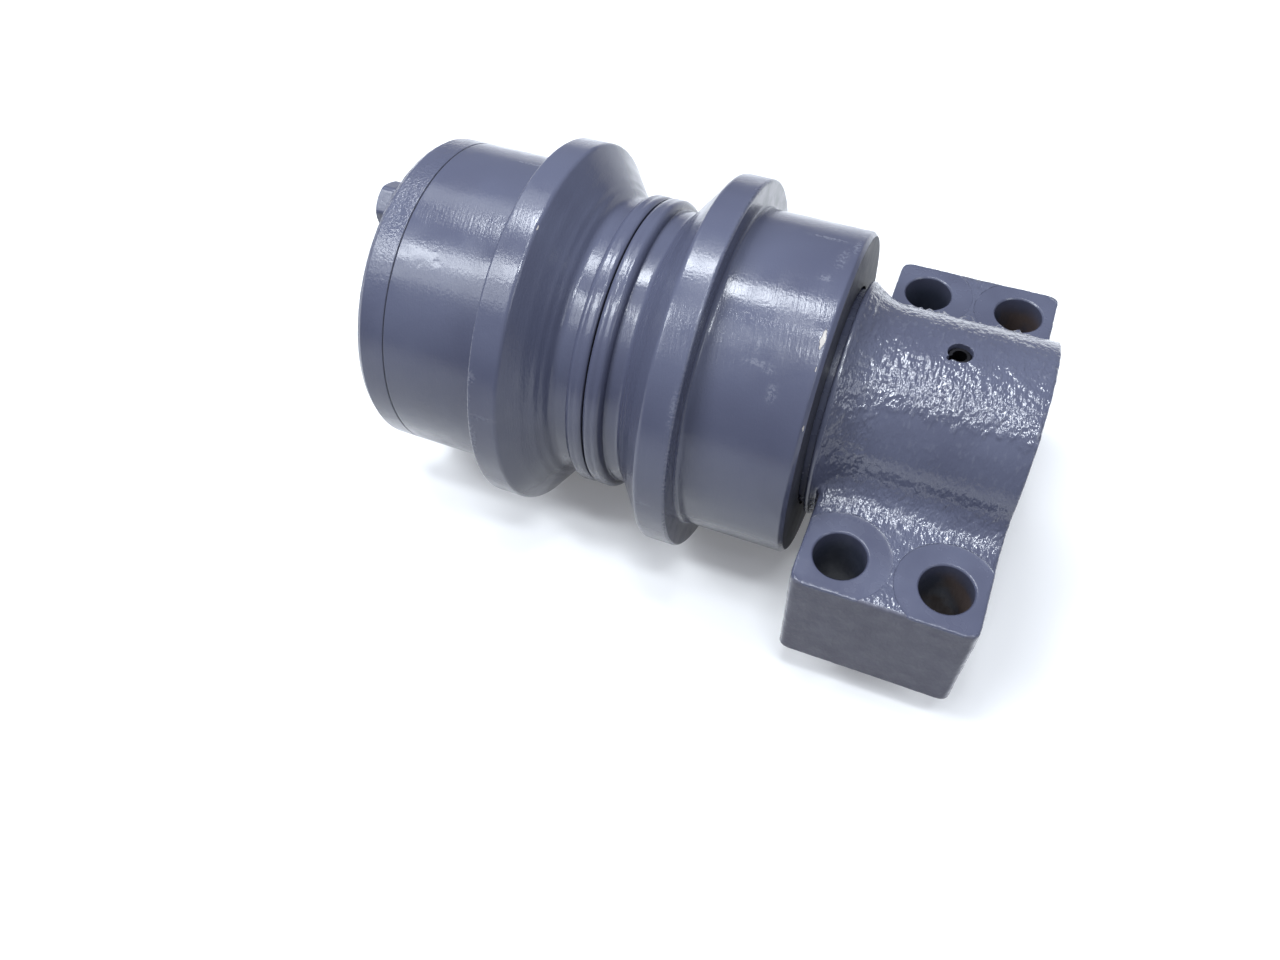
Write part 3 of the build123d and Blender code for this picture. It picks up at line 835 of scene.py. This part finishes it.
def outboard_half():
    inside = [
        (shell_out_x, cover_bore_r), (cover_bore_x, cover_bore_r), (cover_bore_x, outer_pocket_r),
        (outer_pocket_x, outer_pocket_r), (outer_pocket_x, outer_bore_r), (outer_bush_x, outer_bore_r),
        (outer_bush_x, chamber_r), (shell_mid_x, chamber_r), (shell_mid_x, curl_r - weld_groove_depth),
    ]
    profile = shell_profile(shell_outside(-1, seam_edge), inside)
    half = spun("outboard_roller_half", profile, relief=shell_relief)
    holes = bolt_cutters(shell_out_x - 1 * mm, shell_out_x + tap_depth, bolt_d / 2)
    return combined(half, holes, "DIFFERENCE")


def bolt_places():
    """The (y, z) places of the cover bolts and each one's turn in radians."""
    places = []
    for k in range(bolt_count):
        turn = math.radians(bolt_first_angle + 360.0 * k / bolt_count)
        places.append((-bolt_circle_r * math.sin(turn), axis_z + bolt_circle_r * math.cos(turn), turn))
    return places


def bolt_cutters(low, high, radius):
    cutters = []
    for y, z, _ in bolt_places():
        circle = []
        for k in range(64):
            angle = 2 * math.pi * k / 64
            circle.append((y + radius * math.cos(angle), z + radius * math.sin(angle)))
        cutters.append(prism("bolt_cutter", circle, low, high, "X"))
    return cutters


def rim_roughness(turn):
    """The cover's rim is roughest beside the first bolt."""
    return bell(degrees_from(rough_rim_angle, turn), rough_rim_spread)


def cover_relief(x, r, turn):
    """Ripple on the rim of a flame-cut disc, roughest near the first bolt."""
    points = np.stack([x, -r * np.sin(turn), r * np.cos(turn)], axis=1)
    on_rim = smoothstep(tread_r - 3 * mm, tread_r - 1.5 * mm, r)
    rough = 0.15 + rim_roughness(np.degrees(turn))
    wave = noise_at(points, 22 * mm, 4) * 0.05 * mm
    ripple = noise_at(points, 2.8 * mm, 5) * 0.22 * mm * rough
    return on_rim * (wave + ripple)


def end_cover():
    groove_x = shell_out_x + (spigot_length - ring_groove_width) / 2
    outline = rounded([
        (gasket_face_x, plug_hole_r), (gasket_face_x, plug_pocket_r, 0.8 * mm),
        (cover_x, plug_pocket_r, 0.6 * mm), (cover_x, tread_r - cover_edge, 0.8 * mm),
        (cover_x + cover_edge_length, tread_r, 1.2 * mm), (shell_out_x - seam_edge, tread_r, 0.2 * mm),
        (shell_out_x, tread_r - seam_edge), (shell_out_x, spigot_r), (groove_x, spigot_r),
        (groove_x, ring_groove_r), (groove_x + ring_groove_width, ring_groove_r),
        (groove_x + ring_groove_width, spigot_r), (shell_out_x + spigot_length, spigot_r),
        (shell_out_x + spigot_length, cover_pocket_r), (cover_web_x, cover_pocket_r),
        (cover_web_x, plug_hole_r),
    ])
    cover = spun("end_cover_disc", refined(outline, 1.6 * mm), relief=cover_relief)
    holes = bolt_cutters(cover_x - 1 * mm, shell_out_x + 1 * mm, bolt_hole_r)
    return combined(cover, holes, "DIFFERENCE")


def mark_cover(piece):
    x, r, turn = along_and_round(points_of(piece))
    outside = (r > tread_r - 4 * mm) * (x < shell_out_x + 0.01 * mm)
    seam = bell(x - shell_out_x, 0.6 * mm) * (r > tread_r - 2 * mm)
    edge = bell(np.hypot(x - cover_x, r - tread_r + cover_edge), 1.6 * mm) * outside
    set_mask(piece, "rough_rim", rim_roughness(turn) * outside)
    # Painted shade along the seam between cover and shell
    set_mask(piece, "painted_shade", seam)
    set_mask(piece, "scuff", edge * 0.5)


def hexagon_radius(turn, flats, corner_round):
    """Distance from the middle to a hexagon's side, with its corners a little rounded."""
    within = turn % (math.pi / 3) - math.pi / 6
    sharp = flats / 2 / math.cos(within)
    limit = flats / math.sqrt(3) - corner_round
    softness = 0.15 * mm
    gap = (sharp - limit) / softness
    return sharp - softness * math.log1p(math.exp(gap))


def cover_bolt_heads():
    """The three hexagon bolts: chamfered heads with soft edges, and plain shanks."""
    around = 144
    face_r = 0.95 * bolt_flats / 2
    slope = math.tan(math.radians(30))
    shank_r = bolt_d / 2 - 0.02 * mm
    shank = (
        (shank_r, 0.0), (shank_r, -bolt_length + 1.5 * mm), (bolt_d / 2 - 1.5 * mm, -bolt_length),
        (0.2 * mm, -bolt_length),
    )
    points = []
    faces = []
    for y, z, turn in bolt_places():
        rings = []
        for share in (0.02, 0.4, 0.8, 0.97):
            rings.append([(face_r * share, bolt_head_height)] * around)
        corner_radii = []
        for j in range(around):
            corner_radii.append(hexagon_radius(2 * math.pi * j / around, bolt_flats, 0.5 * mm))
        for share in (0.12, 0.35, 0.6, 0.85, 0.95):
            ring = []
            for corner in corner_radii:
                r = face_r + max(corner - face_r, 0.2 * mm) * share
                ring.append((r, bolt_head_height - (r - face_r) * slope))
            rings.append(ring)
        for drop in (0.25, 0.7):
            rings.append([(c, bolt_head_height - (c - face_r) * slope - drop * mm) for c in corner_radii])
        for height in (3.0, 0.5):
            rings.append([(c, height * mm) for c in corner_radii])
        rings.append([(c - 0.4 * mm, 0.0) for c in corner_radii])
        for spot in shank:
            rings.append([spot] * around)
        base = len(points)
        for ring in rings:
            for j, (r, height) in enumerate(ring):
                angle = turn + 2 * math.pi * j / around
                points.append((bolt_seat_x - height, y - r * math.sin(angle), z + r * math.cos(angle)))
        for face in ring_faces(len(rings), around, False):
            faces.append(tuple(base + k for k in face))
        faces.append(tuple(base + j for j in range(around)))
        last = base + (len(rings) - 1) * around
        faces.append(tuple(last + j for j in range(around)))
    heads = mesh_object("cover_bolt_set", points, faces)
    x, r, turn = along_and_round(points_of(heads))
    set_mask(heads, "scuff", bell(x - bolt_seat_x + bolt_head_height, 0.8 * mm) * 0.3)
    # Painted shade where each bolt head sits on its washer
    set_mask(heads, "painted_shade", bell(x - bolt_seat_x, 0.8 * mm))
    return heads


# Bracket: cast first, then cut

def bracket_section(bottom_z):
    """Barrel and feet across the axis, as (y, z) points."""
    rise = foot_top_z - axis_z
    fillet_z = foot_top_z + foot_fillet
    fillet_y = math.sqrt((barrel_r + foot_fillet) ** 2 - (foot_fillet + rise) ** 2)
    meet = math.atan2(fillet_y, foot_fillet + rise)
    half = [(foot_side_y, bottom_z), (foot_side_y, foot_top_z)]
    for k in range(fillet_steps + 1):
        angle = meet * k / fillet_steps
        y = fillet_y - foot_fillet * math.sin(angle)
        half.append((y, fillet_z - foot_fillet * math.cos(angle)))
    for k in range(1, barrel_steps + 1):
        angle = meet * (1 - k / barrel_steps)
        half.append((barrel_r * math.sin(angle), axis_z + barrel_r * math.cos(angle)))
    other = [(-y, z) for y, z in reversed(half[:-1])]
    relief = [
        (-relief_half_width, bottom_z), (-relief_half_width, relief_depth),
        (relief_half_width, relief_depth), (relief_half_width, bottom_z),
    ]
    return half + other + relief


def collar_profile(start_x, inner_r):
    """The flared end of the barrel, as a closed run of (x, radius)."""
    slope_x = collar_x + collar_land + collar_slope
    return rounded([
        (start_x, inner_r), (start_x, collar_r, 1.5 * mm), (collar_x + collar_land, collar_r, 1.5 * mm),
        (slope_x, barrel_r, collar_flare), (0.0, barrel_r), (0.0, inner_r),
    ])


def casting_amounts(points):
    """How rough the casting is at each point, from 0.12 to 1."""
    x, r, turn = along_and_round(points)
    rough = np.ones_like(x)
    ragged = noise_at(points * np.array([1.0, 0.25, 0.25]), 3.5 * mm, 21) * 5.0
    panel = smoothstep(-32 * mm, -26 * mm, x + ragged * mm) * smoothstep(37.0, 41.0, turn + ragged)
    panel *= 1 - smoothstep(74.0, 82.0, turn + ragged)
    rough -= 0.8 * panel * (r < barrel_r + 4 * mm)
    side = smoothstep(foot_side_y - 3 * mm, foot_side_y - 0.8 * mm, np.abs(points[:, 1]))
    rough -= 0.55 * side
    end = smoothstep(foot_end_x - 2.5 * mm, foot_end_x - 0.8 * mm, np.abs(x))
    rough -= 0.35 * end * (np.abs(points[:, 1]) > barrel_r)
    rough -= 0.45 * (1 - smoothstep(-14.0, 4.0, turn)) * (turn > -50.0) * (r < barrel_r + 4 * mm)
    rough -= 0.3 * smoothstep(-44 * mm, -47 * mm, x)
    return np.clip(rough, 0.12, 1.0)


def roughen(piece):
    """Moves a casting's points along their normals, by sand grain, lumps and flash."""
    points = points_of(piece)
    normals = vectors_of(piece.data.vertex_normals, "vector")
    amount = casting_amounts(points)
    x, r, turn = along_and_round(points)
    drawn = points * np.array([1.0, 0.5, 0.5])
    lumps = noise_at(points, 26 * mm, 11) * 0.25 * mm
    swell = noise_at(points, 9 * mm, 12) * 0.20 * mm
    grain = noise_at(drawn, 3.1 * mm, 13) * 0.24 * mm
    pit = np.minimum(noise_at(drawn, 2.1 * mm, 14), 0.3) * 0.34 * mm
    flash = bell(turn - flash_angle, 2.2) * smoothstep(-34 * mm, -28 * mm, x) * (r < barrel_r + 2 * mm)
    flash *= 1.0 - smoothstep(foot_end_x - 5 * mm, foot_end_x - 2 * mm, x)
    crumbs = np.maximum(noise_at(points, 3.4 * mm, 15) - 0.05, 0.0) * 3.6 * mm
    height = lumps * 0.7 + swell * (0.4 + 0.6 * amount) + (grain + pit) * amount
    height += crumbs * flash - 0.15 * mm
    piece.data.vertices.foreach_set("co", (points + normals * height[:, None]).astype(np.float32).ravel())
    piece.data.update()


def bracket_cutters():
    """What machining takes off the casting: underside, spot faces, holes, bore and pin hole."""
    reach = 60 * mm
    cutters = [prism("base_cutter", [
        (-foot_side_y - cut_margin, -cut_margin), (foot_side_y + cut_margin, -cut_margin),
        (foot_side_y + cut_margin, 0.0), (-foot_side_y - cut_margin, 0.0),
    ], -foot_end_x - cut_margin, foot_end_x + cut_margin, "X")]
    foot_cut = rounded([
        (0.0, -cut_margin), (foot_hole_r, -cut_margin),
        (foot_hole_r, axis_z - foot_hole_chamfer, 0.4 * mm),
        (foot_hole_r + foot_hole_chamfer, axis_z, 0.4 * mm),
        (spot_face_r, axis_z, 0.3 * mm), (spot_face_r, axis_z + reach), (0.0, axis_z + reach),
    ], 4)
    for x, y in foot_holes:
        cutters.append(upright_turned("foot_cutter", foot_cut, x, y))
    bore = [
        (lip_x - cut_margin, 0.0), (lip_x - cut_margin, seal_mouth_r), (lip_x, seal_mouth_r),
        (bracket_seat_x, seal_seat_r), (bracket_seat_x, shaft_seat_r),
        (foot_end_x - bore_chamfer, shaft_seat_r), (foot_end_x, shaft_seat_r + bore_chamfer),
        (foot_end_x + cut_margin, shaft_seat_r + bore_chamfer + cut_margin),
        (foot_end_x + cut_margin, 0.0),
    ]
    cutters.append(spun("bore_cutter", [Vector(p) for p in bore], 192))
    top_z = axis_z + barrel_r
    pin = rounded([
        (0.0, -cut_margin), (pin_hole_r, -cut_margin), (pin_hole_r, top_z - 0.4 * mm),
        (pin_hole_r + 0.6 * mm, top_z + 0.4 * mm), (pin_hole_r + 0.6 * mm, top_z + cut_margin),
        (0.0, top_z + cut_margin),
    ], 4)
    cutters.append(upright_turned("pin_cutter", pin, 0.0, 0.0, 64))
    stake = upright_turned("stake_cutter", rounded([
        (0.0, -4 * mm), (1.1 * mm, -4 * mm), (1.5 * mm, cut_margin), (0.0, cut_margin),
    ]), 0.0, 0.0, 24)
    stake_turn = math.radians(stake_angle)
    stake_r = pin_hole_r + 0.7 * mm
    stake.data.transform(Matrix.Translation((
        stake_r * math.cos(stake_turn), stake_r * math.sin(stake_turn), top_z,
    )))
    cutters.append(stake)
    return cutters


def bracket_casting():
    section = prism("bracket_casting", bracket_section(-cast_below), -foot_end_x, foot_end_x, "X")
    plan = rounded([(a * foot_end_x, b * foot_side_y, foot_corner_round) for a, b in corner_signs])
    combined(section, [prism("plan", plan, -8 * mm, 150 * mm, "Z")], "INTERSECT")
    collar = spun("collar_blank", collar_profile(collar_x + 0.6 * mm, 20 * mm), 256)
    combined(section, [collar], "UNION")
    grid = section.modifiers.new("grid", "REMESH")
    grid.mode = "VOXEL"
    grid.voxel_size = casting_voxel
    soft = section.modifiers.new("soft", "SMOOTH")
    soft.factor = 0.5
    soft.iterations = 5
    apply_modifiers(section)
    roughen(section)
    rim_back_x = collar_x + collar_land + 1.2 * mm
    rim = spun("collar_rim", rounded([
        (lip_x, seal_mouth_r - 1 * mm), (lip_x, lip_r, 0.4 * mm), (collar_x, lip_r, 0.4 * mm),
        (collar_x, collar_r, 1.2 * mm), (collar_x + collar_land - 0.3 * mm, collar_r, 1.0 * mm),
        (rim_back_x, collar_r - 2.5 * mm), (rim_back_x, seal_mouth_r - 1 * mm),
    ]), 288)
    combined(section, [rim], "UNION")
    return combined(section, bracket_cutters(), "DIFFERENCE")


def finish_bracket(piece):
    """Tells cast faces from cut ones, and says where the casting is rough or matt."""
    faces = piece.data.polygons
    centre = vectors_of(faces, "center")
    normal = vectors_of(faces, "normal")
    x, r, _ = along_and_round(centre)
    z = centre[:, 2]
    machined = 1  # places in the bracket's list of materials
    in_hole = 2
    index = np.zeros(len(centre), dtype=np.int32)
    for hole_x, hole_y in foot_holes:
        away = np.hypot(centre[:, 0] - hole_x, centre[:, 1] - hole_y)
        index[(away < spot_face_r + cut_reach) & (z > axis_z - 1.2 * mm)] = machined
        index[(away < foot_hole_r + cut_reach) & (z < axis_z - 1.2 * mm)] = in_hole
    index[(z < 0.02 * mm) & (normal[:, 2] < -0.9)] = machined
    index[x < collar_x + collar_land] = machined
    index[r < shaft_seat_r + 0.2 * mm] = in_hole
    index[np.hypot(centre[:, 0], centre[:, 1]) < pin_hole_r + cut_reach] = in_hole
    faces.foreach_set("material_index", index)
    points = points_of(piece)
    set_mask(piece, "grain", casting_amounts(points))
    side = smoothstep(foot_side_y - 2.5 * mm, foot_side_y - 0.5 * mm, np.abs(points[:, 1]))
    set_mask(piece, "matt", side)


halves = {"inboard_shell_half": inboard_half(), "outboard_shell_half": outboard_half()}
for node, half in halves.items():
    mark_shell(half)
    shade(half)
    dress(half, "roller", "roller_paint", ["roller"], node)

cover = end_cover()
mark_cover(cover)
shade(cover)
dress(cover, "roller", "roller_paint", ["roller"], "end_cover")

bolts = cover_bolt_heads()
shade(bolts, 40.0)
dress(bolts, "roller", "roller_paint", ["bolt"], "cover_bolts")

bracket = bracket_casting()
dress(bracket, "bracket", "cast_paint", ["casting", "machined", "hole"], "bracket")
finish_bracket(bracket)
shade(bracket, 42.0)

# Solids that stay as they are, by material
kept_solids = {
    "bolt": ("cover_washers", "oil_plug"),
    "shaft": ("shaft",),
    "ground": ("thrust_plate",),
    "spring": ("lock_pin", "thrust_plate_bolts", "thrust_plate_washers"),
    "iron": ("fixed_seal_ring", "rotating_seal_ring"),
    "rubber": ("fixed_seal_toric", "rotating_seal_toric", "shaft_oring", "cover_oring"),
    "bronze": ("inboard_bushing", "outboard_bushing"),
    "copper": ("oil_plug_gasket",),
}
for material_name, nodes in kept_solids.items():
    for node in nodes:
        dress_node(node, material_name)


# Stage

def make_floor():
    """A pale floor that catches the object's shadow and is white further away."""
    floor_z = cad_box[0][2] - floor_gap
    half = 6.0
    corners = [(a * half, b * half, floor_z) for a, b in corner_signs]
    floor = mesh_object("floor", corners, [(0, 1, 2, 3)])
    material, tree, where = start_material("pale_floor")
    path = add(tree, "LightPath")
    seen = calc(tree, "MAXIMUM", path.outputs["Is Camera Ray"], path.outputs["Is Glossy Ray"])
    seen = calc(tree, "MAXIMUM", seen, path.outputs["Is Transmission Ray"])
    speck = gloss_drift(tree, where, 30 * mm, 3.0, 0.88, 0.9)
    lit = add(tree, "BsdfDiffuse", {"Color": (0.86, 0.86, 0.86, 1.0)})
    dim = add(tree, "BsdfDiffuse", {"Color": (0.20, 0.20, 0.22, 1.0), "Roughness": speck})
    glow = add(tree, "Emission", {"Color": (1.0, 1.0, 1.0, 1.0), "Strength": floor_glow})
    near = add(tree, "AddShader", {0: lit.outputs[0], 1: glow.outputs[0]})
    white = add(tree, "Emission", {"Color": (1.0, 1.0, 1.0, 1.0), "Strength": 1.0})
    away = add(tree, "VectorMath", {0: where}, operation="LENGTH").outputs["Value"]
    bright = add(tree, "MixShader", {
        0: ramp(tree, away, floor_white_from, floor_white_at), 1: near.outputs[0], 2: white.outputs[0],
    })
    mixed = add(tree, "MixShader", {0: seen, 1: dim.outputs[0], 2: bright.outputs[0]})
    add(tree, "OutputMaterial", {"Surface": mixed.outputs[0]})
    floor.data.materials.append(material)


def place(name, data, at, axes):
    """Puts a lamp or camera at a place, turned to the given right, up and back."""
    holder = bpy.data.objects.new(name, data)
    bpy.context.scene.collection.objects.link(holder)
    holder.matrix_world = Matrix.Translation(at) @ Matrix(axes).transposed().to_4x4()
    return holder


def make_lamp(name, at, aim, length, width, power):
    """A flat panel whose length runs as near to the roller's axis as its aim allows."""
    back = (Vector(at) - Vector(aim)).normalized()
    across = back.cross(Vector((1.0, 0.0, 0.0))).normalized()
    along = across.cross(back).normalized()
    lamp = bpy.data.lights.new(name, "AREA")
    lamp.shape = "RECTANGLE"
    lamp.size = length
    lamp.size_y = width
    lamp.energy = power
    lamp.color = window_light
    place(name, lamp, at, (along, across, back))


def make_camera():
    """The photograph's view, as columns of the camera's own right, up and back."""
    right = Vector(camera_right)
    up = Vector(camera_up)
    back = right.cross(up).normalized()
    up = back.cross(right).normalized()
    right.normalize()
    data = bpy.data.cameras.new("photo_camera")
    data.sensor_width = 36.0
    data.lens = camera_lens
    data.clip_start = 0.01
    data.dof.use_dof = False
    bpy.context.scene.camera = place("photo_camera", data, camera_place, (right, up, back))


def make_world():
    """Soft light from above, and plain white where the camera sees it."""
    world = bpy.data.worlds.new("studio")
    bpy.context.scene.world = world
    world.use_nodes = True
    tree = world.node_tree
    tree.nodes.clear()
    direction = add(tree, "TexCoord").outputs["Generated"]
    height = add(tree, "SeparateXYZ", {0: direction}).outputs[2]
    sky = blend_colour(tree, ramp(tree, height, 0.0, 0.9), sky_low, sky_high)
    path = add(tree, "LightPath")
    tone = blend_colour(tree, path.outputs["Is Camera Ray"], sky, (1.0, 1.0, 1.0))
    light = add(tree, "Background", {"Color": tone, "Strength": 1.0})
    add(tree, "OutputWorld", {"Surface": light.outputs[0]})


# Name, place, aim, length, width and power of each lamp, in metres and watts
lamps = (
    ("left_panel", (-1.02, -0.52, 1.50), roller_aim, 0.80, 0.30, 13.5),
    ("left_fade", (-1.02, -0.88, 1.34), roller_aim, 0.80, 0.34, 4.0),
    ("rear_left", (-1.05, 0.72, 1.50), roller_aim, 0.60, 0.40, 2.4),
    ("over_tube", (-0.53, 0.31, 1.55), waist_aim, 0.62, 0.30, 15.5),
    ("bracket_strip", (0.08, -0.42, 1.50), bracket_aim, 0.46, 0.12, 7.5),
    ("bracket_spot", (-0.12, -0.12, 1.52), bracket_aim, 0.14, 0.12, 2.5),
    ("right_window", (1.05, -0.40, 1.00), whole_aim, 0.50, 0.70, 3.6),
)

make_floor()
for lamp in lamps:
    make_lamp(*lamp)
make_camera()
make_world()
bpy.context.scene.view_settings.view_transform = "Standard"
